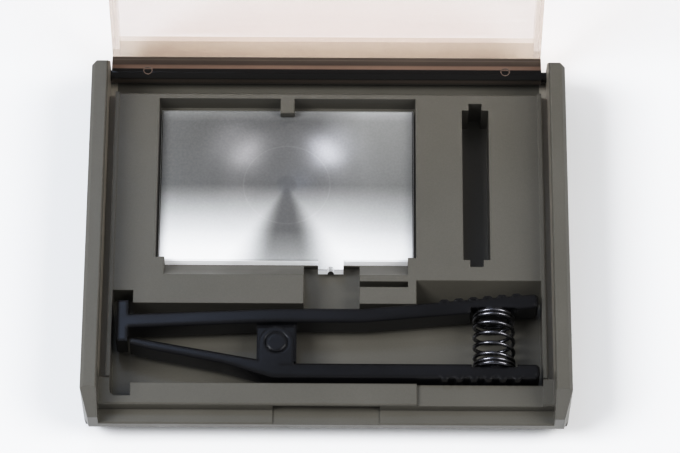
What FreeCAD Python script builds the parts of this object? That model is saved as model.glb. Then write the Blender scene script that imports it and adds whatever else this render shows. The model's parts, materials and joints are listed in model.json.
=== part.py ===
"""Storage case for a camera focusing screen: tray, hinged lid, screen and sprung tweezers.

Frame: millimetres, +Z up, X along the case's width, +Y towards the hinge. The origin is the
centre of the base face. The lid stands open.
"""
import FreeCAD, Part
import math
import os

import Sketcher

SIZES = {
    # case, outside
    "case_width": 68.8,
    "case_depth": 56.9,
    "case_height": 12.0,
    "side_wall": 2.3,
    "slope_run": 2.6,
    "nose_top": 7.0,
    "nose_bottom": 3.7,
    "base_inset": 2.0,
    "edge_bevel": 0.5,
    "front_taper": 0.9,
    "back_corner": 0.7,
    "edge_break": 0.2,
    # tray, steps and levels
    "platform_level": 7.0,
    "ledge_level": 5.0,
    "ledge_depth": 2.15,
    "front_wall": 3.25,
    "low_wall_level": 6.5,
    "low_wall_back": 3.15,
    "trough_level": 2.9,
    "trough_width": 5.2,
    "stop_rise": 0.4,
    "stop_width": 0.7,
    "channel_width": 0.95,
    "channel_drop": 1.2,
    "channel_front": 6.25,
    "rim_width": 0.6,
    "rim_rise": 0.3,
    "catch_width": 15.1,
    "catch_drop": 0.2,
    "catch_rise": 1.3,
    "catch_bite": 0.85,
    # tweezers bay
    "bay_floor": 3.1,
    "bay_back": 17.77,
    "head_pocket_width": 2.9,
    "head_pocket_back": 19.73,
    "head_pocket_front": 3.42,
    "head_pocket_radius": 0.9,
    "access_back": 21.53,
    "access_run": 2.0,
    # screen and its recess
    "screen_width": 36.8,
    "screen_depth": 24.4,
    "screen_thick": 1.6,
    "screen_offset": 5.95,
    "screen_back_gap": 7.3,
    "screen_bevel": 0.2,
    "tab_width": 3.65,
    "tab_length": 1.4,
    "tab_offset": 6.45,
    "tab_notch_radius": 0.45,
    "seat_level": 4.0,
    "seat_width": 1.6,
    "seat_relief": 0.6,
    "recess_side_gap": 0.3,
    "recess_back_gap": 1.2,
    "recess_front_gap": 0.15,
    "ramp_run": 2.75,
    "ramp_inset": 1.3,
    "ramp_foot": 0.2,
    "hook_width": 2.05,
    "hook_overlap": 1.2,
    "hook_gap": 0.25,
    "grip_channel_width": 8.0,
    "grip_channel_offset": 6.6,
    "finger_width": 3.75,
    "finger_slot": 0.85,
    "finger_root": 1.2,
    # slot that stands a screen on edge
    "slot_width": 3.85,
    "slot_length": 24.2,
    "slot_notch_width": 1.9,
    "slot_notch": 1.1,
    "slot_side": 12.95,
    "slot_back": 7.9,
    "slot_floor": 1.3,
    # underside
    "skirt": 1.6,
    "rib": 1.2,
    "under_depth": 1.3,
    # lid
    "hinge_back": 1.1,
    "hinge_level": 4.6,
    "hinge_pin_radius": 0.8,
    "hinge_pin_gap": 0.05,
    "hinge_pin_length": 1.3,
    "lid_side_gap": 0.5,
    "lid_side_play": 0.3,
    "lid_draft": 0.4,
    "lid_panel": 1.4,
    "lid_side_wall": 1.1,
    "lid_rear_wall": 1.2,
    "lid_front_wall": 1.2,
    "lid_front_gap": 0.05,
    "lid_seat_gap": 0.3,
    "rail_thick": 2.35,
    "rail_top": 2.6,
    "lid_open_angle": 100.0,
    "mark_radius": 0.6,
    "mark_depth": 0.15,
    "mark_inset": 5.3,
    "mark_rise": 0.1,
    "nub_width": 13.0,
    "nub_height": 0.7,
    "nub_reach": 0.7,
    # tweezers
    "arm_height": 4.0,
    "arm_lift": 1.1,
    "pivot_offset": 7.1,
    "pivot_front": 11.18,
    "pivot_radius": 1.5,
    "pivot_gap": 0.03,
    "pivot_proud": 0.15,
    "pivot_head_radius": 2.1,
    "head_thick": 1.6,
    "head_length": 6.4,
    "head_left": 22.7,
    "handle_reach": 37.15,
    "arm_width": 2.1,
    "rear_jaw_offset": 3.3,
    "rear_pivot_offset": 4.3,
    "rear_knee": 12.0,
    "rear_handle_offset": 6.75,
    "front_tip_offset": 0.15,
    "front_bend": 4.25,
    "jaw_mid": 7.55,
    "jaw_mid_front": 3.15,
    "arm_break": 0.25,
    "bend_half": 0.6,
    "tip_gap": 0.35,
    "tip_length": 3.2,
    "tip_width": 0.9,
    "lug_width": 5.6,
    "lug_thick": 1.6,
    "lug_end": 2.5,
    "ear_radius": 2.5,
    "ear_gap": 0.1,
    "tooth_pitch": 2.05,
    "tooth_rise": 0.25,
    "tooth_count": 6,
    "tooth_start": 23.0,
    "handle_round": 0.7,
    # spring
    "spring_radius": 3.05,
    "spring_wire": 0.55,
    "spring_reach": 30.8,
    "spring_pocket": 0.5,
    "spring_pocket_gap": 0.2,
    "spring_pitch": 1.55,
    "stud_radius": 2.1,
    "stud_length": 1.3,
}

doc = FreeCAD.newDocument("screen_case")
sheet = doc.addObject("Spreadsheet::Sheet", "Sizes")
for row, (alias, number) in enumerate(SIZES.items(), start=1):
    sheet.set(f"A{row}", alias)
    sheet.set(f"B{row}", str(number))
    sheet.setAlias(f"B{row}", alias)
doc.recompute()


def bound(expression):
    """The expression with every size name pointed at the sheet."""
    words = []
    word = ""
    for letter in expression + " ":
        if letter.isalnum() or letter == "_":
            word += letter
            continue
        words.append(f"Sizes.{word}" if word in SIZES else word)
        words.append(letter)
        word = ""
    return "".join(words).strip()


def value(expression):
    """The expression's number for the present sizes."""
    return float(sheet.evalExpression(bound(expression)))


# Places that several pieces share, as expressions of the sizes.
HALF_W = "(case_width / 2)"
INNER_W = "(case_width / 2 - side_wall)"
NOSE = "(case_depth / 2)"
TOP_Y = "(case_depth / 2 - slope_run)"
BASE_Y = "(case_depth / 2 - base_inset)"
FRONT_FACE = "(ledge_depth - case_depth / 2)"
FRONT_BACK = "(ledge_depth + front_wall - case_depth / 2)"
PLATFORM_BACK = "(case_depth / 2 - trough_width)"
RIM_OUT = "(case_width / 2 - side_wall - channel_width)"
RIM_IN = "(case_width / 2 - side_wall - channel_width - rim_width)"
BAY_BACK = "(bay_back - case_depth / 2)"
BAY_X = RIM_IN
SCREEN_BACK = "(case_depth / 2 - screen_back_gap)"
SCREEN_FRONT = "(case_depth / 2 - screen_back_gap - screen_depth)"
SCREEN_L = "(0 - screen_offset - screen_width / 2)"
SCREEN_R = "(screen_width / 2 - screen_offset)"
RECESS_L = f"({SCREEN_L} - recess_side_gap)"
RECESS_R = f"({SCREEN_R} + recess_side_gap)"
RECESS_F = f"({SCREEN_FRONT} - recess_front_gap)"
RECESS_B = f"({SCREEN_BACK} + recess_back_gap)"
RAMP_L = f"({RECESS_L} + ramp_inset)"
GRIP_X = "(grip_channel_offset - screen_offset)"
GRIP_L = f"({GRIP_X} - grip_channel_width / 2)"
GRIP_R = f"({GRIP_X} + grip_channel_width / 2)"
FINGER_R = f"({RECESS_R} - finger_root)"
HINGE_Y = "(case_depth / 2 - hinge_back)"
LID_X = "(case_width / 2 - side_wall - lid_side_gap)"
PIVOT_X = "(0 - pivot_offset)"
PIVOT_Y = "(pivot_front - case_depth / 2)"
ARM_LOW = "(bay_floor + arm_lift)"
ARM_TOP = "(bay_floor + arm_lift + arm_height)"
HEAD_L = f"({PIVOT_X} - head_left)"
HEAD_R = f"({PIVOT_X} - head_left + head_thick)"
HANDLE_X = f"({PIVOT_X} + handle_reach)"
SPRING_X = f"({PIVOT_X} + spring_reach)"
SPRING_Z = "(bay_floor + arm_lift + arm_height / 2)"
LUG_LOW = "(bay_floor + arm_lift + arm_height / 2 - lug_thick / 2)"
LUG_TOP = "(bay_floor + arm_lift + arm_height / 2 + lug_thick / 2)"
FRONT_BACK_EDGE = f"({PIVOT_Y} - front_bend + arm_width / 2)"
REAR_SLOPE = "((rear_handle_offset - rear_pivot_offset) / (handle_reach - rear_knee))"
SPRING_BACK = (f"({PIVOT_Y} + rear_pivot_offset - arm_width / 2"
               f" + {REAR_SLOPE} * (spring_reach - rear_knee) + spring_pocket)")
SPRING_FRONT = f"({FRONT_BACK_EDGE} - spring_pocket)"


def new_body(label):
    body = doc.addObject("PartDesign::Body", label)
    body.Label = label
    return body


def new_sketch(body, plane, offset="0"):
    """A sketch on one of the body's origin planes, moved along its normal by the offset."""
    sketch = body.newObject("Sketcher::SketchObject", f"{body.Name}_sketch")
    origin = [item for item in body.Origin.OriginFeatures if item.Role == plane]
    sketch.AttachmentSupport = [(origin[0], "")]
    sketch.MapMode = "FlatFace"
    if offset != "0":
        sketch.setExpression("AttachmentOffset.Base.z", bound(offset))
    doc.recompute()
    return sketch


def pin_point(sketch, line, end, point):
    """Ties one end of a line to a pair of expressions."""
    for axis, kind, expression in ((-2, "DistanceX", point[0]), (-1, "DistanceY", point[1])):
        if expression == "0":
            sketch.addConstraint(Sketcher.Constraint("PointOnObject", line, end, axis))
            continue
        index = sketch.addConstraint(
            Sketcher.Constraint(kind, -1, 1, line, end, value(expression)))
        sketch.setExpression(f"Constraints[{index}]", bound(expression))


def add_outline(sketch, points):
    """A closed outline of straight lines through points given as pairs of expressions."""
    corners = [FreeCAD.Vector(value(x), value(y), 0) for x, y in points]
    first = sketch.GeometryCount
    count = len(corners)
    for i in range(count):
        sketch.addGeometry(Part.LineSegment(corners[i], corners[(i + 1) % count]), False)
    for i in range(count):
        follower = first + (i + 1) % count
        sketch.addConstraint(Sketcher.Constraint("Coincident", first + i, 2, follower, 1))
    for i in range(count):
        pin_point(sketch, first + i, 1, points[i])


def add_rectangle(sketch, left, right, low, high):
    add_outline(sketch, [(left, low), (right, low), (right, high), (left, high)])


def add_circle(sketch, centre_x, centre_y, radius):
    centre = FreeCAD.Vector(value(centre_x), value(centre_y), 0)
    circle = sketch.addGeometry(
        Part.Circle(centre, FreeCAD.Vector(0, 0, 1), value(radius)), False)
    pin_point(sketch, circle, 3, (centre_x, centre_y))
    index = sketch.addConstraint(Sketcher.Constraint("Radius", circle, value(radius)))
    sketch.setExpression(f"Constraints[{index}]", bound(radius))


def extrude(body, kind, sketch, length, both_ways=False, other_way=False):
    """A pad or pocket of a sketch; both ways means half the length to each side."""
    feature = body.newObject(f"PartDesign::{kind}", f"{body.Name}_{kind}")
    feature.Profile = sketch
    feature.setExpression("Length", bound(length))
    feature.SideType = "Symmetric" if both_ways else "One side"
    feature.Reversed = other_way
    doc.recompute()
    return feature


def pad(body, sketch, length, both_ways=False, other_way=False):
    return extrude(body, "Pad", sketch, length, both_ways, other_way)


def pocket(body, sketch, length, both_ways=False, other_way=False):
    before = body.Shape.Volume
    feature = extrude(body, "Pocket", sketch, length, both_ways, other_way)
    if body.Shape.Volume > before - 1e-4:
        raise RuntimeError(f"{feature.Name} cuts nothing")
    return feature


def dress(body, kind, size, wanted, edges_of=None):
    """A chamfer or fillet on the edges that the test picks from the body's last shape."""
    base = body.Tip
    names = [f"Edge{i}" for i, edge in enumerate(base.Shape.Edges, start=1) if wanted(edge)]
    if not names:
        raise RuntimeError(f"{body.Name}: no edge to {kind.lower()}")
    feature = body.newObject(f"PartDesign::{kind}", f"{body.Name}_{kind}")
    feature.Base = (base, names)
    key = "Size" if kind == "Chamfer" else "Radius"
    feature.setExpression(key, bound(size))
    doc.recompute()
    return feature


def spans(edge, axis, low, high):
    """True when the edge's box reaches from low to high along one axis."""
    box = edge.BoundBox
    lows = (box.XMin, box.YMin, box.ZMin)
    highs = (box.XMax, box.YMax, box.ZMax)
    return abs(lows[axis] - low) < 1e-4 and abs(highs[axis] - high) < 1e-4


# --- tray ---------------------------------------------------------------------------------

def tray_shell(body):
    """The outer block, the space between its side walls, and the bevels."""
    side = new_sketch(body, "YZ_Plane")
    shoulder = "(nose_bottom - base_inset)"
    front = [(f"0 - {BASE_Y}", "0"), (f"0 - {BASE_Y}", shoulder), (f"0 - {NOSE}", "nose_bottom"),
             (f"0 - {NOSE}", "nose_top"), (f"0 - {TOP_Y}", "case_height")]
    back = [(y[4:], z) for y, z in reversed(front)]
    add_outline(side, front + back)
    pad(body, side, "case_width", both_ways=True)

    space = new_sketch(body, "YZ_Plane")
    outside = "(case_depth / 2 + 1)"
    above = "(case_height + 1)"
    stop_top = "(trough_level + stop_rise)"
    stop_front = f"({BASE_Y} - nose_bottom + base_inset + {stop_top} - stop_width)"
    add_outline(space, [
        (f"0 - {outside}", "ledge_level"), (FRONT_FACE, "ledge_level"),
        (FRONT_FACE, "platform_level"), (PLATFORM_BACK, "platform_level"),
        (PLATFORM_BACK, "trough_level"), (stop_front, "trough_level"), (stop_front, stop_top),
        (outside, stop_top), (outside, above), (f"0 - {outside}", above)])
    pocket(body, space, f"2 * {INNER_W}", both_ways=True)

    inner_w = value(INNER_W)
    breaks = [(value(FRONT_FACE), value("platform_level")),
              (value(PLATFORM_BACK), value("platform_level")),
              (-value(NOSE), value("ledge_level"))]

    def needs_break(edge):
        box = edge.BoundBox
        across = box.XLength > inner_w and any(
            abs(box.YMin - y) < 1e-4 and abs(box.ZMin - z) < 1e-4 and box.ZLength < 1e-4
            for y, z in breaks)
        along = abs(abs(box.XMin) - inner_w) < 1e-4 and box.XLength < 1e-4
        return across or (along and abs(box.ZMin - value("case_height")) < 1e-4)

    dress(body, "Chamfer", "edge_break", needs_break)

    taper = new_sketch(body, "XY_Plane", "case_height")
    for sign in ("", "0 - "):
        add_outline(taper, [(f"{sign}{HALF_W}", f"0 - {TOP_Y}"),
                            (f"{sign}({HALF_W} - front_taper)", f"0 - {NOSE}"),
                            (f"{sign}{HALF_W}", f"0 - {NOSE}")])
    pocket(body, taper, "case_height")

    half_w = value(HALF_W)
    top_y = value(TOP_Y)
    nose = value(NOSE)

    def on_outer_face(edge):
        return abs(abs(edge.BoundBox.XMin) - half_w) < 1e-4 and edge.BoundBox.XLength < 1e-4

    dress(body, "Chamfer", "back_corner",
          lambda edge: on_outer_face(edge) and spans(edge, 1, top_y, nose))
    top = value("case_height")
    dress(body, "Chamfer", "edge_bevel",
          lambda edge: on_outer_face(edge) and spans(edge, 2, top, top))


def tray_edges(body):
    """The lid's side channels, the rims beside them and the hinge sockets."""
    channels = new_sketch(body, "XY_Plane", "platform_level")
    start = f"(channel_front - {NOSE})"
    add_rectangle(channels, f"0 - {INNER_W}", f"0 - {RIM_OUT}", start, PLATFORM_BACK)
    add_rectangle(channels, RIM_OUT, INNER_W, start, PLATFORM_BACK)
    pocket(body, channels, "channel_drop")

    rims = new_sketch(body, "XY_Plane", "platform_level")
    add_rectangle(rims, f"0 - {RIM_OUT}", f"0 - {RIM_IN}", start, PLATFORM_BACK)
    add_rectangle(rims, RIM_IN, RIM_OUT, start, PLATFORM_BACK)
    pad(body, rims, "rim_rise")

    sockets = new_sketch(body, "YZ_Plane")
    add_circle(sockets, HINGE_Y, "hinge_level", "(hinge_pin_radius + hinge_pin_gap)")
    reach = f"({LID_X} + hinge_pin_length + lid_side_play + 0.1)"
    pocket(body, sockets, f"2 * {reach}", both_ways=True)


def tray_bay(body):
    """The tweezers' bay with the pocket for their cross head and the sloping finger access."""
    bay = new_sketch(body, "XY_Plane", "platform_level")
    head_right = f"(head_pocket_width - {BAY_X})"
    access_foot = f"(access_back - access_run - {NOSE})"
    pocket_front = f"(head_pocket_front - {NOSE})"
    add_outline(bay, [
        (f"0 - {BAY_X}", pocket_front), (head_right, pocket_front), (head_right, FRONT_BACK),
        (BAY_X, FRONT_BACK), (BAY_X, access_foot), (RECESS_R, access_foot),
        (RECESS_R, BAY_BACK), (head_right, BAY_BACK),
        (head_right, f"(head_pocket_back - {NOSE})"),
        (f"0 - {BAY_X}", f"(head_pocket_back - {NOSE})")])
    pocket(body, bay, "platform_level - bay_floor")
    corner_x = -value(BAY_X)
    corner_y = value(pocket_front)
    dress(body, "Fillet", "head_pocket_radius",
          lambda edge: spans(edge, 0, corner_x, corner_x) and spans(edge, 1, corner_y, corner_y))

    access = new_sketch(body, "YZ_Plane", BAY_X)
    brow = f"(access_back - {NOSE})"
    add_outline(access, [(access_foot, "bay_floor"), (brow, "platform_level"),
                         (access_foot, "platform_level")])
    pocket(body, access, f"{BAY_X} - {RECESS_R}")

    low_wall = new_sketch(body, "XY_Plane", "platform_level")
    add_rectangle(low_wall, RECESS_R, BAY_X, FRONT_FACE, FRONT_BACK)
    pocket(body, low_wall, "platform_level - low_wall_level")

    catch = new_sketch(body, "XY_Plane", "ledge_level + catch_rise")
    add_rectangle(catch, "0 - catch_width / 2", "catch_width / 2",
                  f"0 - {NOSE}", f"({FRONT_FACE} + catch_bite)")
    pocket(body, catch, "catch_rise + catch_drop")


def tray_recess(body):
    """The screen's recess: seat, ramp, hook, grip channel and the slotted front finger."""
    recess = new_sketch(body, "XY_Plane", "platform_level")
    add_rectangle(recess, RECESS_L, RECESS_R, RECESS_F, RECESS_B)
    pocket(body, recess, "platform_level - seat_level")

    relief = new_sketch(body, "XY_Plane", "seat_level")
    add_rectangle(relief, f"({RECESS_L} + seat_width)", f"({RECESS_R} - seat_width)",
                  f"({RECESS_F} + seat_width)", f"({RECESS_B} - seat_width)")
    pocket(body, relief, "seat_relief")

    ramp = new_sketch(body, "YZ_Plane", FINGER_R)
    add_outline(ramp, [(RECESS_F, "(seat_level + ramp_foot)"),
                       (f"({RECESS_F} - ramp_run)", "platform_level"),
                       (RECESS_F, "platform_level")])
    pocket(body, ramp, f"{FINGER_R} - {RAMP_L}")

    grip = new_sketch(body, "XY_Plane", "platform_level")
    add_rectangle(grip, GRIP_L, GRIP_R, BAY_BACK, RECESS_F)
    finger_back = f"({RECESS_F} - finger_width)"
    add_rectangle(grip, GRIP_R, FINGER_R, f"({finger_back} - finger_slot)", finger_back)
    pocket(body, grip, "platform_level - bay_floor")

    hook = new_sketch(body, "XY_Plane", "seat_level + screen_thick + hook_gap")
    add_rectangle(hook, "(0 - screen_offset - hook_width / 2)", "(hook_width / 2 - screen_offset)",
                  f"({SCREEN_BACK} - hook_overlap)", f"({RECESS_B} + 0.5)")
    pad(body, hook, "platform_level - seat_level - screen_thick - hook_gap")


def tray_slot(body):
    """The stepped slot, and the hollow underside with its ribs."""
    slot = new_sketch(body, "XY_Plane", "platform_level")
    right = f"({HALF_W} - slot_side + slot_width / 2)"
    left = f"({HALF_W} - slot_side - slot_width / 2)"
    back = f"({NOSE} - slot_back)"
    front = f"({NOSE} - slot_back - slot_length)"
    notch_right = f"({HALF_W} - slot_side + slot_notch_width / 2)"
    notch_left = f"({HALF_W} - slot_side - slot_notch_width / 2)"
    add_outline(slot, [
        (left, front), (notch_left, front), (notch_left, f"({front} - slot_notch)"),
        (notch_right, f"({front} - slot_notch)"), (notch_right, front), (right, front),
        (right, back), (notch_right, back), (notch_right, f"({back} + slot_notch)"),
        (notch_left, f"({back} + slot_notch)"), (notch_left, back), (left, back)])
    pocket(body, slot, "platform_level - slot_floor")

    under = new_sketch(body, "XY_Plane")
    room_y = f"({BASE_Y} - skirt)"
    edge = f"({HALF_W} - skirt - side_wall)"
    slot_room = f"({left} - rib)"
    rooms = [(f"0 - {edge}", f"(0 - {edge} / 2 - rib / 2)"),
             (f"(rib / 2 - {edge} / 2)", "0 - rib / 2"), ("rib / 2", slot_room),
             (f"({right} + rib)", edge)]
    for room_left, room_right in rooms:
        add_rectangle(under, room_left, room_right, f"0 - {room_y}", room_y)
    pocket(body, under, "under_depth", other_way=True)


def make_tray():
    body = new_body("tray")
    tray_shell(body)
    tray_edges(body)
    tray_bay(body)
    tray_recess(body)
    tray_slot(body)
    return body


# --- lid ----------------------------------------------------------------------------------

def make_lid():
    """The lid, drawn closed and then swung open about its pins."""
    body = new_body("lid")
    front = f"(lid_front_gap - {NOSE})"
    front_low = "(ledge_level + lid_seat_gap)"
    under = "(case_height - lid_panel)"
    slope = "(slope_run / (case_height - nose_top))"
    front_top = f"({front} + slope_run)"
    rail_out = f"({NOSE})"
    rail_in = f"({NOSE} - rail_thick)"
    step = "(hinge_level + rail_top)"
    step_in = f"({NOSE} - {slope} * ({step} - nose_top) - lid_rear_wall)"
    rear_in = f"({NOSE} - {slope} * ({under} - nose_top) - lid_rear_wall)"
    rail_low = "(hinge_level - rail_thick / 2)"
    shell = new_sketch(body, "YZ_Plane")
    add_outline(shell, [
        (front, front_low), (front, "nose_top"), (front_top, "case_height"),
        (TOP_Y, "case_height"), (rail_out, "nose_top"), (rail_out, rail_low),
        (rail_in, rail_low), (rail_in, step), (step_in, step), (rear_in, under),
        (f"({front} + {slope} * ({under} - nose_top) + lid_front_wall)", under),
        (f"({front} + lid_front_wall)", "nose_top"), (f"({front} + lid_front_wall)", front_low)])
    pad(body, shell, f"2 * {LID_X}", both_ways=True)

    low = value(rail_low)
    half = value("rail_thick / 2")
    dress(body, "Fillet", "rail_thick / 2 - 0.02",
          lambda edge: spans(edge, 2, low, low) and edge.BoundBox.XLength > 10 * half)

    side_low = "(platform_level + rim_rise + lid_seat_gap)"
    for sign in ("", "0 - "):
        walls = new_sketch(body, "YZ_Plane", f"{sign}{LID_X}")
        add_outline(walls, [
            (f"({front} + {slope} * ({side_low} - nose_top) + 0.1)", side_low),
            (f"({front_top} + 0.1)", f"({under} + 0.1)"), (f"({TOP_Y} - 0.1)", f"({under} + 0.1)"),
            (f"({NOSE} - {slope} * ({side_low} - nose_top) - 0.5)", side_low)])
        pad(body, walls, "lid_side_wall", other_way=(sign == ""))

    pins = new_sketch(body, "YZ_Plane")
    add_circle(pins, HINGE_Y, "hinge_level", "hinge_pin_radius")
    pad(body, pins, f"2 * ({LID_X} + hinge_pin_length)", both_ways=True)

    marks = new_sketch(body, "XZ_Plane", f"0 - {rail_in}")
    for sign in ("", "0 - "):
        add_circle(marks, f"{sign}({LID_X} - mark_inset)", "(hinge_level + mark_rise)",
                   "mark_radius")
    pocket(body, marks, "mark_depth")

    drafts = new_sketch(body, "XZ_Plane")
    for sign in ("", "0 - "):
        add_outline(drafts, [(f"{sign}{LID_X}", side_low),
                             (f"{sign}({LID_X} - lid_draft)", "(case_height + 0.1)"),
                             (f"{sign}({LID_X} + 0.1)", "(case_height + 0.1)"),
                             (f"{sign}({LID_X} + 0.1)", side_low)])
    pocket(body, drafts, "2 * case_depth", both_ways=True)

    nub = new_sketch(body, "YZ_Plane")
    nub_face = f"({front} + lid_front_wall)"
    add_outline(nub, [(f"({nub_face} - 0.2)", front_low),
                      (f"({nub_face} + nub_reach)", f"({front_low} + nub_height / 3)"),
                      (f"({nub_face} + nub_reach)", f"({front_low} + nub_height * 2 / 3)"),
                      (f"({nub_face} - 0.2)", f"({front_low} + nub_height)")])
    pad(body, nub, "nub_width", both_ways=True)

    axis_point = FreeCAD.Vector(0, value(HINGE_Y), value("hinge_level"))
    swing = FreeCAD.Rotation(FreeCAD.Vector(-1, 0, 0), value("lid_open_angle"))
    to_one_side = FreeCAD.Vector(-value("lid_side_play"), 0, 0)
    body.Placement = FreeCAD.Placement(to_one_side, swing, axis_point)
    return body


# --- focusing screen ----------------------------------------------------------------------

def make_screen():
    body = new_body("focusing_screen")
    plan = new_sketch(body, "XY_Plane", "seat_level")
    tab_x = "(tab_offset - screen_offset)"
    tab_l = f"({tab_x} - tab_width / 2)"
    tab_r = f"({tab_x} + tab_width / 2)"
    tab_front = f"({SCREEN_FRONT} - tab_length)"
    add_outline(plan, [
        (SCREEN_L, SCREEN_FRONT), (tab_l, SCREEN_FRONT), (tab_l, tab_front), (tab_r, tab_front),
        (tab_r, SCREEN_FRONT), (SCREEN_R, SCREEN_FRONT), (SCREEN_R, SCREEN_BACK),
        (SCREEN_L, SCREEN_BACK)])
    pad(body, plan, "screen_thick")
    notch = new_sketch(body, "XY_Plane", "seat_level + screen_thick")
    add_circle(notch, tab_x, tab_front, "tab_notch_radius")
    pocket(body, notch, "screen_thick")
    top = value("seat_level + screen_thick")
    main = 2 * value("tab_width")
    dress(body, "Chamfer", "screen_bevel",
          lambda edge: spans(edge, 2, top, top) and edge.Length > main)
    return body


# --- tweezers -----------------------------------------------------------------------------

def break_arm_edges(body):
    """Small chamfers along an arm's long edges, top and bottom."""
    levels = (value(ARM_LOW), value(ARM_TOP))
    shortest = 2 * value("arm_width")
    dress(body, "Chamfer", "arm_break",
          lambda edge: edge.Length > shortest and edge.BoundBox.ZLength < 1e-4
          and any(abs(edge.BoundBox.ZMin - level) < 1e-4 for level in levels))


def handle_teeth(body, sign, edge_point, slope):
    """Low grip ribs across a handle's outer face, following the face's slope."""
    ribs = new_sketch(body, "XY_Plane", ARM_LOW)
    for i in range(int(value("tooth_count"))):
        start = f"({PIVOT_X} + tooth_start + {i} * tooth_pitch)"
        face = [f"({edge_point} + {slope} * (tooth_start + ({i} + {part}) * tooth_pitch))"
                for part in (0.0, 0.25, 0.5, 0.75)]
        rise = f"{sign} tooth_rise"
        add_outline(ribs, [
            (start, f"({face[0]} {'-' if sign == '+' else '+'} 0.1)"),
            (f"({start} + 0.75 * tooth_pitch)",
             f"({face[3]} {'-' if sign == '+' else '+'} 0.1)"),
            (f"({start} + 0.55 * tooth_pitch)", f"({face[2]} {rise})"),
            (f"({start} + 0.2 * tooth_pitch)", f"({face[1]} {rise})")])
    pad(body, ribs, "arm_height")


def spring_seat(body, face, bottom, toward_back):
    """A shallow seat across an arm's inner face with a round stud inside the coil."""
    seat = new_sketch(body, "XY_Plane", ARM_TOP)
    radius = "(spring_radius + spring_pocket_gap)"
    add_rectangle(seat, f"({SPRING_X} - {radius})", f"({SPRING_X} + {radius})",
                  f"{face} - 0.6" if toward_back else bottom,
                  bottom if toward_back else f"{face} + 0.6")
    pocket(body, seat, "arm_height")
    stud = new_sketch(body, "XZ_Plane", f"0 - {bottom}")
    add_circle(stud, SPRING_X, SPRING_Z, "stud_radius")
    pad(body, stud, "stud_length", other_way=not toward_back)


def make_rear_arm():
    """The rear arm with its cross head and the lug that the front arm's ears straddle."""
    body = new_body("tweezers_rear_arm")
    half = "arm_width / 2"
    jaw = f"({PIVOT_Y} + rear_jaw_offset)"
    mid = f"({PIVOT_Y} + rear_pivot_offset)"
    tail = f"({PIVOT_Y} + rear_handle_offset)"
    knee_x = f"({PIVOT_X} + rear_knee)"
    head_back = f"({HEAD_L} + 0)"
    head_y = f"({PIVOT_Y} + head_length)"
    head_front = f"({PIVOT_Y} + 0.1)"
    plan = new_sketch(body, "XY_Plane", ARM_LOW)
    add_outline(plan, [
        (head_back, head_y), (head_back, head_front), (HEAD_R, head_front),
        (HEAD_R, f"({jaw} - {half})"), (PIVOT_X, f"({mid} - {half})"),
        (knee_x, f"({mid} - {half})"), (HANDLE_X, f"({tail} - {half})"),
        (HANDLE_X, f"({tail} + {half})"), (knee_x, f"({mid} + {half})"),
        (PIVOT_X, f"({mid} + {half})"), (HEAD_R, f"({jaw} + {half})"), (HEAD_R, head_y)])
    pad(body, plan, "arm_height")
    handle_end = value(HANDLE_X)
    dress(body, "Fillet", "handle_round",
          lambda edge: spans(edge, 0, handle_end, handle_end) and edge.BoundBox.YLength < 1e-4)
    break_arm_edges(body)

    handle_teeth(body, "+", f"{mid} + {half} - {REAR_SLOPE} * rear_knee", REAR_SLOPE)
    lug = new_sketch(body, "XY_Plane", LUG_LOW)
    add_rectangle(lug, f"({PIVOT_X} - lug_width / 2)", f"({PIVOT_X} + lug_width / 2)",
                  f"({PIVOT_Y} - lug_end)", mid)
    pad(body, lug, "lug_thick")
    hole = new_sketch(body, "XY_Plane", LUG_TOP)
    add_circle(hole, PIVOT_X, PIVOT_Y, "pivot_radius + pivot_gap")
    pocket(body, hole, "lug_thick")
    face = f"({mid} - {half})"
    spring_seat(body, face, SPRING_BACK, True)
    return body


def make_front_arm():
    """The front arm, bent at the pivot, with two ears round the rear arm's lug."""
    body = new_body("tweezers_front_arm")
    half = "arm_width / 2"
    tip_x = f"({HEAD_R} + tip_gap)"
    tip_y = f"({PIVOT_Y} + front_tip_offset)"
    line = f"({PIVOT_Y} - front_bend)"
    plan = new_sketch(body, "XY_Plane", ARM_LOW)
    add_outline(plan, [
        (tip_x, f"({tip_y} - tip_width / 2)"), (f"({tip_x} + tip_length)", f"({tip_y} - tip_length / 2.5)"),
        (f"({PIVOT_X} - jaw_mid)", f"({PIVOT_Y} - jaw_mid_front)"),
        (f"({PIVOT_X} - bend_half)", f"({line} - {half})"), (HANDLE_X, f"({line} - {half})"),
        (HANDLE_X, f"({line} + {half})"), (f"({PIVOT_X} + bend_half)", f"({line} + {half})"),
        (f"({tip_x} + 0.9)", f"({tip_y} + tip_width / 2)"), (tip_x, f"({tip_y} + tip_width / 4)")])
    pad(body, plan, "arm_height")
    handle_end = value(HANDLE_X)
    dress(body, "Fillet", "handle_round",
          lambda edge: spans(edge, 0, handle_end, handle_end) and edge.BoundBox.YLength < 1e-4)
    break_arm_edges(body)
    handle_teeth(body, "-", f"{line} - {half}", "0")

    ear_y = f"({line} + {half} - 0.2)"
    levels = [(ARM_LOW, f"({LUG_LOW} - ear_gap - {ARM_LOW})"),
              (f"({LUG_TOP} + ear_gap)", f"({ARM_TOP} - {LUG_TOP} - ear_gap)")]
    for level, thick in levels:
        stem = new_sketch(body, "XY_Plane", level)
        add_rectangle(stem, f"({PIVOT_X} - ear_radius)", f"({PIVOT_X} + ear_radius)", ear_y,
                      PIVOT_Y)
        pad(body, stem, thick)
        crown = new_sketch(body, "XY_Plane", level)
        add_circle(crown, PIVOT_X, PIVOT_Y, "ear_radius")
        pad(body, crown, thick)
    hole = new_sketch(body, "XY_Plane", ARM_TOP)
    add_circle(hole, PIVOT_X, PIVOT_Y, "pivot_radius + pivot_gap")
    pocket(body, hole, "arm_height")
    spring_seat(body, FRONT_BACK_EDGE, SPRING_FRONT, False)
    return body


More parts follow.
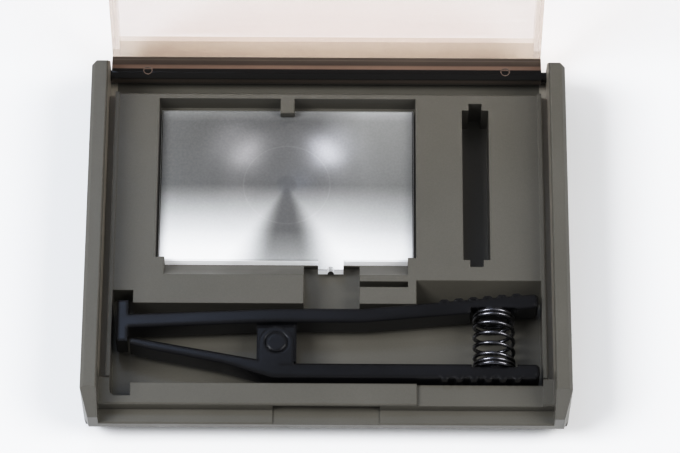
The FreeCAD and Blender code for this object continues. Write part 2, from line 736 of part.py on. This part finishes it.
def make_pivot_pin():
    body = new_body("tweezers_pivot_pin")
    head = new_sketch(body, "XY_Plane", "bay_floor")
    add_circle(head, PIVOT_X, PIVOT_Y, "pivot_head_radius")
    pad(body, head, f"{ARM_LOW} - bay_floor - 0.05")
    shank = new_sketch(body, "XY_Plane", "bay_floor")
    add_circle(shank, PIVOT_X, PIVOT_Y, "pivot_radius")
    pad(body, shank, f"{ARM_TOP} + pivot_proud - bay_floor")
    return body


def make_spring():
    """A compression spring between the handles, closed at both ends, coiled along Y."""
    wire = value("spring_wire")
    radius = value("spring_radius") - wire / 2
    back = value(SPRING_BACK)
    front = value(SPRING_FRONT)
    pitch = value("spring_pitch")
    closed = 1.05 * wire
    free = back - front - wire
    active = round((free - 4 * closed) / pitch)
    stretches = [(closed, 2), ((free - 4 * closed) / active, active), (closed, 2)]
    steps = 12
    points = []
    turn = 0.0
    along = front + wire / 2
    for rise, turns in stretches:
        for _ in range(int(turns * steps)):
            angle = 2 * math.pi * turn
            points.append(FreeCAD.Vector(radius * math.cos(angle), along, radius * math.sin(angle)))
            turn += 1 / steps
            along += rise / steps
    angle = 2 * math.pi * turn
    points.append(FreeCAD.Vector(radius * math.cos(angle), along, radius * math.sin(angle)))
    path = Part.BSplineCurve()
    path.interpolate(points)
    start = points[0]
    tangent = path.tangent(path.FirstParameter)[0]
    ring = Part.Wire([Part.Circle(start, tangent, wire / 2).toShape()])
    coil = Part.Wire([path.toShape()]).makePipeShell([ring], True, True)
    spring = doc.addObject("Part::Feature", "tweezers_spring")
    spring.Label = "tweezers_spring"
    spring.Shape = coil
    spring.Placement = FreeCAD.Placement(
        FreeCAD.Vector(value(SPRING_X), 0, value(SPRING_Z)), FreeCAD.Rotation())
    return spring


pieces = [make_tray(), make_lid(), make_screen(), make_rear_arm(), make_front_arm(),
          make_pivot_pin(), make_spring()]
doc.recompute()

for item in doc.Objects:
    if "Invalid" in item.State or "Error" in item.State:
        raise RuntimeError(f"{item.Name} failed: {item.State}")
os.makedirs("parts", exist_ok=True)
for piece in pieces:
    if piece.Shape.isNull() or not piece.Shape.isValid():
        raise RuntimeError(f"{piece.Label} has no valid shape")
    piece.Shape.exportStep(f"parts/{piece.Label}.step")
    print(piece.Label, len(piece.Shape.Solids), round(piece.Shape.Volume, 1))
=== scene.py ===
import json
import math

import bmesh
import bpy
from mathutils import Matrix, Vector


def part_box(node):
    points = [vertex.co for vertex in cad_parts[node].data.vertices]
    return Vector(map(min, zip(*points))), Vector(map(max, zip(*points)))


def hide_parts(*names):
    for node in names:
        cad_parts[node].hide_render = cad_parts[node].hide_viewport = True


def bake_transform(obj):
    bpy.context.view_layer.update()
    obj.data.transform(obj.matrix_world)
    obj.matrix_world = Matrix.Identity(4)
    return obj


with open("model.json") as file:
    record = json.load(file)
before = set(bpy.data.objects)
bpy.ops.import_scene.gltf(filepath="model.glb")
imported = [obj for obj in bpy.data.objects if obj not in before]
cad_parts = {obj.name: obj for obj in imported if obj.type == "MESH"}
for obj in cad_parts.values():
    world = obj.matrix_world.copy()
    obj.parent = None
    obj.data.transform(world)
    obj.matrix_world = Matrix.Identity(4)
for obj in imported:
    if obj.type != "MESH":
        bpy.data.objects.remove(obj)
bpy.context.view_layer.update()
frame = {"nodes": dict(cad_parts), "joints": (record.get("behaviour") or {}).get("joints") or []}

# Every size is in metres and every place is in the frame's own axes.
MM = 0.001

# The lid stands open at rest, so heights above its hinge are measured along its own rise.
LID_JOINT = next(joint for joint in frame["joints"] if joint["name"] == "lid_hinge")
HINGE = LID_JOINT["pos_m"]
LID_OPEN = math.radians(abs(LID_JOINT["range_deg"][0]))
SWING = (math.sin(LID_OPEN), -math.cos(LID_OPEN))
# Along the lid's rise, the hinge rail's painted shade and painted highlight bands lie between
# RAIL_LOW and RAIL_HIGH.
RAIL_LOW, RAIL_HIGH = -1.4 * MM, 3.4 * MM
# Up to REAR_WALL_TOP the lid's rear wall takes a darker tint, a painted shade of the table seen
# through it.
REAR_WALL_TOP = 5.92 * MM
# Painted highlight rings circle the lid's ejector marks at these places.
MARK_PLACES = (-26.6 * MM, 26.0 * MM)
MARK_RISE = 0.1 * MM
MARK_RADIUS = 0.6 * MM
MARK_HIGHLIGHT_WIDTH = 0.1 * MM

# The lid's side walls drop into a channel between the tray's rim and its outer wall. Inside it the
# tray's colour is lifted 2.8 times, a painted light.
CHANNEL_INNER, CHANNEL_OUTER = 31.12 * MM, 32.3 * MM
CHANNEL_TOP = 10.5 * MM
CHANNEL_FRONT = -22.2 * MM

# The screen's bright and dark areas across SCREEN_HALF are painted reflections and painted
# highlights.
SCREEN_HALF = (18.4 * MM, 12.2 * MM)
CENTRE_SPOT = 1.4 * MM
LENS_SLOPE = 60.0
# Below CUT_DEPTH under its top, the screen's cut edges are painted bright and glow.
CUT_DEPTH = 0.18 * MM

FLOOR_HALF = 1.5
FLOOR_DROP = 0.02 * MM
WORLD_STRENGTH = 0.36

CAMERA_RISE = 63.8
CAMERA_ROLL = 0.30
CAMERA_REACH = 530 * MM
CAMERA_TARGET = (1.8 * MM, 2.25 * MM, 5.6 * MM)
CAMERA_LENS = 194.5

# A camera-like response: scene level, shown level.
TONES = [(0.02, 0.009), (0.05, 0.027), (0.09, 0.064), (0.155, 0.141), (0.3, 0.33), (0.5, 0.58),
         (0.75, 0.79), (1.0, 0.895), (1.25, 0.95), (1.6, 0.985)]

# Name, place, size, power and colour. Each light aims at the middle of the object's base.
LIGHTS = [
    ("key", (-0.64, -0.13, 0.78), (0.5, 0.5), 8.8, (0.95, 0.97, 1.0)),
    ("fill", (0.62, -0.13, 0.70), (0.55, 0.55), 5.4, (1.0, 0.985, 0.96)),
    ("window", (-0.17, 0.37, 0.74), (0.24, 0.20), 0.34, (0.62, 0.76, 1.0)),
]


# --- node helpers -------------------------------------------------------------------------

class Nodes:
    """A material's node tree with short calls to add and join nodes."""

    def __init__(self, name):
        self.material = bpy.data.materials.new(name)
        self.material.use_nodes = True
        self.tree = self.material.node_tree
        self.tree.nodes.clear()
        self.output = self.add("ShaderNodeOutputMaterial")
        self.shader = self.add("ShaderNodeBsdfPrincipled")
        self.join(self.shader.outputs["BSDF"], self.output.inputs["Surface"])
        self.place = self.add("ShaderNodeTexCoord").outputs["Object"]

    def add(self, kind, **settings):
        node = self.tree.nodes.new(kind)
        for key, setting in settings.items():
            setattr(node, key, setting)
        return node

    def join(self, source, target):
        self.tree.links.new(source, target)

    def put(self, node, **numbers):
        for key, number in numbers.items():
            node.inputs[key.replace("_", " ")].default_value = number

    def noise(self, scale, detail=3.0, roughness=0.5, stretch=None):
        node = self.add("ShaderNodeTexNoise")
        self.put(node, Scale=scale, Detail=detail, Roughness=roughness)
        place = self.place
        if stretch:
            mapping = self.add("ShaderNodeMapping")
            mapping.inputs["Scale"].default_value = stretch
            self.join(place, mapping.inputs["Vector"])
            place = mapping.outputs["Vector"]
        self.join(place, node.inputs["Vector"])
        return node.outputs["Fac"]

    def ramp(self, factor, stops, kind="LINEAR"):
        node = self.add("ShaderNodeValToRGB")
        node.color_ramp.interpolation = kind
        marks = node.color_ramp.elements
        while len(marks) < len(stops):
            marks.new(0.5)
        for mark, (place, colour) in zip(marks, stops):
            mark.position = place
            mark.color = (*colour, 1.0)
        self.join(factor, node.inputs["Fac"])
        return node.outputs["Color"]

    def math(self, operation, first, second=None, clamp=False):
        node = self.add("ShaderNodeMath", operation=operation, use_clamp=clamp)
        for socket, item in zip(node.inputs, (first, second)):
            if item is None:
                continue
            if isinstance(item, (int, float)):
                socket.default_value = item
            else:
                self.join(item, socket)
        return node.outputs[0]

    def mix(self, factor, first, second, blend="MIX"):
        node = self.add("ShaderNodeMix", data_type="RGBA", blend_type=blend)
        for socket, item in zip((node.inputs[0], node.inputs[6], node.inputs[7]),
                                (factor, first, second)):
            if isinstance(item, (int, float)):
                socket.default_value = item
            elif isinstance(item, tuple):
                socket.default_value = (*item, 1.0)
            else:
                self.join(item, socket)
        return node.outputs[2]

    def bump(self, height, strength, distance, below=None):
        node = self.add("ShaderNodeBump")
        self.put(node, Strength=strength, Distance=distance)
        self.join(height, node.inputs["Height"])
        if below is not None:
            self.join(below, node.inputs["Normal"])
        return node.outputs["Normal"]

    def soft_edges(self, radius):
        node = self.add("ShaderNodeBevel", samples=4)
        node.inputs["Radius"].default_value = radius
        return node.outputs["Normal"]

    def axes(self):
        node = self.add("ShaderNodeSeparateXYZ")
        self.join(self.place, node.inputs[0])
        return node.outputs

    def finish(self, **sockets):
        for key, item in sockets.items():
            socket = self.shader.inputs[key.replace("_", " ")]
            if isinstance(item, (int, float)):
                socket.default_value = item
            else:
                self.join(item, socket)
        return self.material


# --- materials ----------------------------------------------------------------------------

def tray_plastic():
    """Olive-grey moulded plastic: a fine spark-eroded grain and slight clouding, with painted
    light that brightens the recess where the lid's side walls drop in.
    """
    n = Nodes("tray_plastic")
    cloud = n.noise(55, 3, 0.55)
    grain = n.noise(5200, 2, 0.6)
    colour = n.ramp(cloud, [(0.30, (0.0835, 0.0785, 0.066)), (0.70, (0.095, 0.0895, 0.0765))])
    colour = n.mix(0.14, colour, n.ramp(grain, [(0.3, (0.063, 0.059, 0.050)),
                                                (0.7, (0.138, 0.130, 0.112))]))
    x, y, z = n.axes()
    # Painted light: the tray's colour is lifted 2.8 times in the narrow recess between the rim and
    # the outer wall.
    aside = n.math("ABSOLUTE", x)
    painted_light_channel = n.math("MULTIPLY", n.math("GREATER_THAN", aside, CHANNEL_INNER),
                     n.math("LESS_THAN", z, CHANNEL_TOP))
    painted_light_channel = n.math("MULTIPLY", painted_light_channel, n.math("LESS_THAN", aside, CHANNEL_OUTER))
    painted_light_channel = n.math("MULTIPLY", painted_light_channel, n.math("GREATER_THAN", y, CHANNEL_FRONT))
    colour = n.mix(painted_light_channel, colour, n.mix(1.0, colour, (2.8, 2.75, 2.8), "MULTIPLY"))
    rough = n.ramp(n.noise(320, 3), [(0.3, (0.40,) * 3), (0.7, (0.50,) * 3)])
    normal = n.bump(grain, 0.20, 0.00003, n.soft_edges(0.00026))
    return n.finish(Base_Color=colour, Roughness=rough, Normal=normal, IOR=1.5,
                    Specular_IOR_Level=0.5, Coat_Weight=0.45, Coat_Roughness=0.28)


def lid_plastic():
    """Clear smoke-tinted plastic, deep brown on the thick hinge rail, which also carries painted
    shade, painted highlights and painted highlight rings round its marks; the rear wall's darker
    tint is painted shade.
    """
    n = Nodes("lid_plastic")
    x, y, z = n.axes()
    back = n.math("SUBTRACT", y, HINGE[1])
    up = n.math("SUBTRACT", z, HINGE[2])
    rise = n.math("SUBTRACT", n.math("MULTIPLY", back, SWING[0]), n.math("MULTIPLY", up, SWING[1]))
    reach = RAIL_HIGH - RAIL_LOW
    along = n.math("DIVIDE", n.math("SUBTRACT", rise, RAIL_LOW), reach, clamp=True)

    def at(millimetres):
        return (millimetres * MM - RAIL_LOW) / reach

    # Painted bands on the hinge rail: a light line at its lower edge, near-black painted shade
    # where the dark trough shows through, a copper painted highlight, a thin painted highlight
    # line near its step, and deep brown between.
    rail = n.ramp(along, [(at(-1.15), (0.075, 0.062, 0.052)), (at(-1.0), (0.012, 0.011, 0.010)),
                          (at(0.30), (0.012, 0.011, 0.011)), (at(0.50), (0.17, 0.118, 0.092)),
                          (at(1.00), (0.15, 0.102, 0.080)), (at(1.20), (0.060, 0.046, 0.038)),
                          (at(1.95), (0.075, 0.060, 0.050)), (at(2.06), (0.12, 0.10, 0.085)),
                          (at(2.17), (0.075, 0.060, 0.050)), (at(2.60), (0.085, 0.070, 0.058))])
    streak = n.ramp(n.noise(60, 3, 0.6, stretch=(0.25, 2, 2)),
                    [(0.3, (0.55,) * 3), (0.7, (1.25,) * 3)])
    rail = n.mix(1.0, rail, streak, "MULTIPLY")
    # Painted highlight: a copper ring traced round each ejector mark.
    for place in MARK_PLACES:
        aside = n.math("SUBTRACT", x, place)
        over = n.math("SUBTRACT", rise, MARK_RISE)
        radius = n.math("SQRT", n.math("ADD", n.math("MULTIPLY", aside, aside),
                                       n.math("MULTIPLY", over, over)))
        off = n.math("ABSOLUTE", n.math("SUBTRACT", radius, MARK_RADIUS))
        rail = n.mix(n.math("LESS_THAN", off, MARK_HIGHLIGHT_WIDTH), rail, (0.13, 0.10, 0.085))
    clear = n.ramp(along, [(at(2.58), (0,) * 3), (at(2.70), (1,) * 3)])
    # Painted shade: below REAR_WALL_TOP the clear rear wall takes a darker tint than the panel.
    wall = n.math("GREATER_THAN", rise, REAR_WALL_TOP)
    tint_and_painted_shade = n.mix(n.math("SUBTRACT", 1.0, wall), (0.895, 0.835, 0.805), (0.60, 0.535, 0.475))
    colour = n.mix(clear, rail, tint_and_painted_shade)
    haze = n.noise(90, 2)
    rough = n.ramp(haze, [(0.35, (0.02,) * 3), (0.75, (0.05,) * 3)])
    normal = n.bump(n.noise(140, 2), 0.05, 0.00005)
    through = n.add("ShaderNodeBsdfTransparent")
    n.join(n.mix(1.0, colour, (0.93, 0.93, 0.93), "MULTIPLY"), through.inputs["Color"])
    ray = n.add("ShaderNodeLightPath")
    lamps = n.math("MULTIPLY", ray.outputs["Is Shadow Ray"], clear)
    glass = n.add("ShaderNodeMixShader")
    n.join(lamps, glass.inputs[0])
    n.join(n.shader.outputs[0], glass.inputs[1])
    n.join(through.outputs[0], glass.inputs[2])
    n.join(glass.outputs[0], n.output.inputs["Surface"])
    return n.finish(Base_Color=colour, Roughness=rough, Normal=normal, IOR=1.49,
                    Transmission_Weight=clear)


def screen_plastic():
    """Ground acrylic over a stepped lens: rings and an aiming circle, with painted reflections and
    painted highlights across its face and bright, glowing cut edges that are painted light.
    """
    n = Nodes("screen_plastic")
    low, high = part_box("focusing_screen")
    half = SCREEN_HALF
    centre = ((low[0] + high[0]) / 2, high[1] - half[1])
    x, y, z = n.axes()
    dx = n.math("SUBTRACT", x, centre[0])
    dy = n.math("SUBTRACT", y, centre[1])
    radius = n.math("SQRT", n.math("ADD", n.math("MULTIPLY", dx, dx), n.math("MULTIPLY", dy, dy)))

    front = n.math("MULTIPLY", dy, -1 / half[1])
    back = n.math("MULTIPLY", dy, 1 / half[1])
    right = n.math("MULTIPLY", dx, 1 / half[0])
    left = n.math("MULTIPLY", dx, -1 / half[0])

    def grey(factor, *stops):
        return n.ramp(factor, [(place, (level,) * 3) for place, level in stops])

    # Painted reflections and highlights: a bright fan towards the front edge, a sheen on the
    # right, brighter strips along the left, back and front edges, dimmed inside the centre spot.
    spread = n.math("DIVIDE", n.math("ABSOLUTE", dx),
                    n.math("MAXIMUM", n.math("MULTIPLY", dy, -1.0), 0.0008))
    painted_fan = n.ramp(n.math("MULTIPLY", spread, 0.5, clamp=True),
                 [(0.08, (0.0,) * 3), (0.40, (1.0,) * 3)], "EASE")
    painted_front_glow = n.math("MULTIPLY", painted_fan, grey(front, (0.0, 0.0), (0.08, 0.055), (0.15, 0.115),
                                        (0.32, 0.26), (0.48, 0.40), (0.65, 0.55), (0.85, 0.66)))
    painted_front_glow = n.math("MULTIPLY", painted_front_glow, grey(right, (0.35, 1.0), (0.95, 0.78)))
    painted_right_sheen = n.math("MULTIPLY", grey(right, (0.25, 0.0), (0.6, 0.15), (1.0, 0.14)),
                        grey(n.math("ADD", n.math("MULTIPLY", back, 0.5), 0.5),
                             (0.27, 0.0), (0.52, 0.5), (1.0, 1.0)))
    painted_light_level = n.math("ADD", painted_front_glow, painted_right_sheen)
    for painted_lift in (grey(left, (0.3, 0.0), (0.9, 0.035)), grey(back, (0.85, 0.0), (1.0, 0.09)),
                 grey(front, (0.6, 0.0), (1.0, 0.20)), 0.080):
        painted_light_level = n.math("ADD", painted_light_level, painted_lift)

    circle = n.ramp(n.math("MULTIPLY", radius, 100.0, clamp=True),
                    [(0.0, (0.0,) * 3), (0.612, (0.0,) * 3), (0.622, (1.0,) * 3),
                     (0.632, (1.0,) * 3), (0.642, (0.0,) * 3)])
    spot = n.ramp(n.math("MULTIPLY", radius, 100.0, clamp=True),
                  [(0.12, (0.80,) * 3), (0.165, (1.0,) * 3)])
    painted_light_level = n.math("ADD", n.math("MULTIPLY", painted_light_level, spot), n.math("MULTIPLY", circle, 0.022))
    # Painted light: the cut edges below the top are painted bright and glow by emission.
    top = high[2] - CUT_DEPTH
    cut = n.math("LESS_THAN", z, top)
    painted_light_level = n.math("MAXIMUM", painted_light_level, n.math("MULTIPLY", cut, 0.80))
    painted_tone = n.ramp(painted_light_level, [(0.0, (0.0, 0.0, 0.0)), (0.2, (0.197, 0.199, 0.196)),
                          (1.0, (0.97, 0.98, 1.0))])
    grain = n.noise(3000, 2)
    colour = n.mix(0.05, painted_tone, n.ramp(grain, [(0.3, (0.1,) * 3), (0.7, (0.5,) * 3)]))

    steep = n.math("MULTIPLY", n.math("GREATER_THAN", radius, CENTRE_SPOT), LENS_SLOPE)
    lens = n.add("ShaderNodeCombineXYZ")
    n.join(n.math("MULTIPLY", n.math("MULTIPLY", dx, -1.0), steep), lens.inputs[0])
    n.join(n.math("MULTIPLY", n.math("MULTIPLY", dy, -1.0), steep), lens.inputs[1])
    lens.inputs[2].default_value = 1.0
    turn = n.add("ShaderNodeVectorTransform", vector_type="NORMAL", convert_from="OBJECT",
                 convert_to="WORLD")
    n.join(lens.outputs[0], turn.inputs[0])
    sheen = n.add("ShaderNodeBsdfGlossy")
    n.put(sheen, Roughness=0.33)
    n.join(n.ramp(n.math("MULTIPLY", radius, 50.0, clamp=True),
                  [(0.36, (0.070, 0.070, 0.074)), (0.56, (0.028, 0.028, 0.030)),
                   (0.80, (0.006,) * 3)], "EASE"), sheen.inputs["Color"])
    n.join(turn.outputs[0], sheen.inputs["Normal"])
    total = n.add("ShaderNodeAddShader")
    n.join(n.shader.outputs[0], total.inputs[0])
    n.join(sheen.outputs[0], total.inputs[1])
    n.join(total.outputs[0], n.output.inputs["Surface"])
    rough = n.ramp(grain, [(0.3, (0.30,) * 3), (0.7, (0.36,) * 3)])
    # The emission makes the painted cut edges glow.
    return n.finish(Base_Color=colour, Roughness=rough, IOR=1.49, Emission_Color=painted_tone,
                    Emission_Strength=n.math("MULTIPLY", cut, 0.25))


def black_plastic():
    """Glossy black moulded plastic with faint flow marks."""
    n = Nodes("black_plastic")
    flow = n.noise(260, 4, 0.6, stretch=(0.35, 1, 1))
    colour = n.ramp(flow, [(0.3, (0.006, 0.006, 0.0075)), (0.7, (0.010, 0.010, 0.0125))])
    rough = n.ramp(flow, [(0.3, (0.14,) * 3), (0.7, (0.24,) * 3)])
    normal = n.bump(flow, 0.12, 0.00004, n.soft_edges(0.0006))
    return n.finish(Base_Color=colour, Roughness=rough, Normal=normal, IOR=1.5)


def spring_steel():
    """Oil-dark drawn wire."""
    n = Nodes("spring_steel")
    draw = n.noise(900, 3, 0.6)
    colour = n.ramp(draw, [(0.3, (0.10, 0.10, 0.11)), (0.7, (0.20, 0.20, 0.215))])
    rough = n.ramp(draw, [(0.3, (0.20,) * 3), (0.7, (0.32,) * 3)])
    return n.finish(Base_Color=colour, Metallic=1.0, Roughness=rough,
                    Normal=n.bump(draw, 0.1, 0.00002))


def table_paint():
    """A white sheet with faint clouding."""
    n = Nodes("table_paint")
    cloud = n.noise(3, 2)
    colour = n.ramp(cloud, [(0.3, (0.84, 0.845, 0.86)), (0.7, (0.88, 0.885, 0.90))])
    return n.finish(Base_Color=colour, Roughness=0.55)


def cover(node, material):
    """Puts one material in each of a CAD node's slots."""
    target = frame["nodes"][node]
    for place in range(max(1, len(target.material_slots))):
        if place < len(target.data.materials):
            target.data.materials[place] = material
        else:
            target.data.materials.append(material)


def half_spring(name, middle, seat):
    """Half of the spring, cut at the middle by the pin's body and kept on the side of the arm's
    seat; the whole spring is hidden.
    """
    whole = frame["nodes"]["tweezers_spring"]
    mesh = whole.data.copy()
    mesh.name = name
    half = bpy.data.objects.new(name, mesh)
    bpy.context.scene.collection.objects.link(half)
    form = bmesh.new()
    form.from_mesh(mesh)
    bmesh.ops.transform(form, matrix=whole.matrix_world, verts=form.verts)
    bmesh.ops.bisect_plane(form, geom=form.verts[:] + form.edges[:] + form.faces[:],
                           dist=1e-7, plane_co=middle, plane_no=(0, 1, 0),
                           clear_outer=seat < middle.y, clear_inner=seat > middle.y)
    form.to_mesh(mesh)
    form.free()
    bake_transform(half)
    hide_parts("tweezers_spring")


black = black_plastic()
cover("tray", tray_plastic())
cover("lid", lid_plastic())
cover("focusing_screen", screen_plastic())
cover("tweezers_rear_arm", black)
cover("tweezers_front_arm", black)
cover("tweezers_pivot_pin", black)
cover("tweezers_spring", spring_steel())
spring_low, spring_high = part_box("tweezers_spring")
spring_middle = (spring_low + spring_high) / 2
half_spring("tweezers_spring_rear_half", spring_middle, spring_high.y)
half_spring("tweezers_spring_front_half", spring_middle, spring_low.y)


# --- stage, lights and camera -------------------------------------------------------------

def make_floor():
    """The white table, a hair below the object's feet."""
    mesh = bpy.data.meshes.new("floor")
    half = FLOOR_HALF
    mesh.from_pydata([(-half, -half, 0), (half, -half, 0), (half, half, 0), (-half, half, 0)],
                     [], [(0, 1, 2, 3)])
    floor = bpy.data.objects.new("floor", mesh)
    bpy.context.scene.collection.objects.link(floor)
    floor.location.z = -FLOOR_DROP
    mesh.materials.append(table_paint())


def make_light(name, place, size, power, colour):
    """A rectangular lamp that aims at the origin."""
    data = bpy.data.lights.new(name, "AREA")
    data.shape = "RECTANGLE"
    data.size, data.size_y = size
    data.energy = power
    data.color = colour
    light = bpy.data.objects.new(name, data)
    light.location = place
    light.rotation_euler = (-Vector(place)).to_track_quat("-Z", "Y").to_euler()
    bpy.context.scene.collection.objects.link(light)


def make_world():
    """Even, slightly blue light from the room."""
    world = bpy.data.worlds.new("studio")
    world.use_nodes = True
    sky = world.node_tree.nodes["Background"]
    sky.inputs["Color"].default_value = (0.95, 0.97, 1.0, 1)
    sky.inputs["Strength"].default_value = WORLD_STRENGTH
    bpy.context.scene.world = world


def make_camera():
    """The photograph's view: from the front, 64 degrees up."""
    data = bpy.data.cameras.new("camera")
    data.sensor_width = 36.0
    data.lens = CAMERA_LENS
    camera = bpy.data.objects.new("camera", data)
    rise = math.radians(CAMERA_RISE)
    away = Vector((0, -math.cos(rise), math.sin(rise))) * CAMERA_REACH
    tilt = Matrix.Rotation(math.radians(90 - CAMERA_RISE), 4, "X")
    roll = Matrix.Rotation(math.radians(CAMERA_ROLL), 4, "Z")
    camera.matrix_world = Matrix.Translation(Vector(CAMERA_TARGET) + away) @ tilt @ roll
    bpy.context.scene.collection.objects.link(camera)
    bpy.context.scene.camera = camera


def set_tones():
    """A camera-like response: deeper shadows and highlights that roll off."""
    view = bpy.context.scene.view_settings
    view.view_transform = "Standard"
    view.use_curve_mapping = True
    mapping = view.curve_mapping
    mapping.clip_max_x = 2.0
    curve = mapping.curves[3]
    curve.points[1].location = (2.0, 1.0)
    for scene_level, shown_level in TONES:
        curve.points.new(scene_level, shown_level)
    mapping.update()


make_floor()
for lamp in LIGHTS:
    make_light(*lamp)
make_world()
make_camera()
set_tones()
